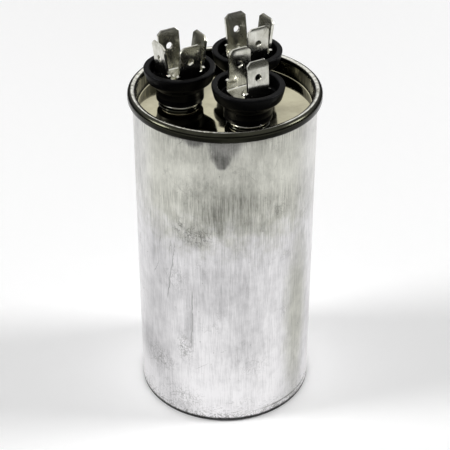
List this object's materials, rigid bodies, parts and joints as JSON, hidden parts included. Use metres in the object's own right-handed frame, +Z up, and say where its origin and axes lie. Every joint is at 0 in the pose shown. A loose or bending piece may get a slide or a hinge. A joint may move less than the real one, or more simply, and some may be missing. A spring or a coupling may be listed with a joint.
{
  "type": "motor run capacitor",
  "caption": "Round dual motor run capacitor: drawn metal can, rolled-on pan lid, cupped terminals with push-on blades and wound film sections inside.",
  "frame": {"origin": "centre of the can's flat base", "axes": "+Z up along the can's axis; the common terminal stands on the -X side, the fan terminal at +X -Y and the compressor terminal at +X +Y"},
  "size_m": [0.0526, 0.0526, 0.1113],
  "materials": {
    "can": "drawn, lightly scratched",
    "lid": "bright tinplate",
    "cup": "satin black moulding",
    "blades": "bright tinned",
    "rivet": "bright tinned",
    "sealant": "matte",
    "insulator": "matte",
    "tag": "bright",
    "lead": "satin insulation over stranded wire",
    "tube": "plain",
    "film": "metallised film edge",
    "wrap": "clear film wrap",
    "end_metal": "sprayed metal"
  },
  "bodies": {
    "root": {"can": "can", "lid": "lid", "seam_compound": "sealant", "common_cup": "cup", "compressor_cup": "cup", "fan_cup": "cup", "common_blades": "blades", "compressor_blades": "blades", "fan_blades": "blades", "common_rivet": "rivet", "compressor_rivet": "rivet", "fan_rivet": "rivet", "common_grommet": "sealant", "compressor_grommet": "sealant", "fan_grommet": "sealant", "common_washer": "insulator", "compressor_washer": "insulator", "fan_washer": "insulator", "common_tag": "tag", "compressor_tag": "tag", "fan_tag": "tag", "common_lead": "lead", "compressor_lead": "lead", "fan_lead": "lead", "insulating_disc": "insulator", "core_tube": "tube", "fan_winding": "film", "section_barrier": "wrap", "compressor_winding": "film", "outer_wrap": "wrap", "common_contact": "end_metal", "compressor_contact": "end_metal", "fan_contact": "end_metal", "base_insulator": "insulator"}
  },
  "joints": []
}
